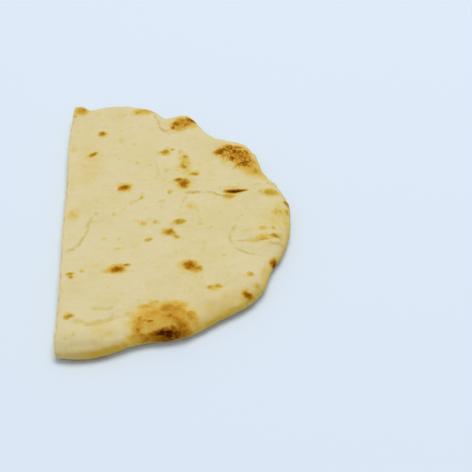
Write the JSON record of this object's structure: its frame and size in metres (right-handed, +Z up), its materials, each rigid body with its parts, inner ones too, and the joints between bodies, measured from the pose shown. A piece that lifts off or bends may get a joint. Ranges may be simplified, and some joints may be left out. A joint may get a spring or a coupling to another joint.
{
  "type": "half naan bread",
  "caption": "Half of a flat leavened bread, cut straight across, with a rounded puffed rim, low bubbles, soft folds and browned spots.",
  "frame": {"origin": "on the surface that the bread rests on, under the middle of its box", "axes": "+Z up from the underside, +Y along the knife cut, +X from the cut towards the round rim"},
  "size_m": [0.132, 0.2302, 0.0123],
  "materials": {
    "baked_crust": "dry baked dough, pale cream yellow and matt, with golden brown blisters, a few dark charred specks and a cream crumb with small pores on the cut"
  },
  "bodies": {
    "root": {"naan_half": "baked_crust"}
  },
  "joints": []
}
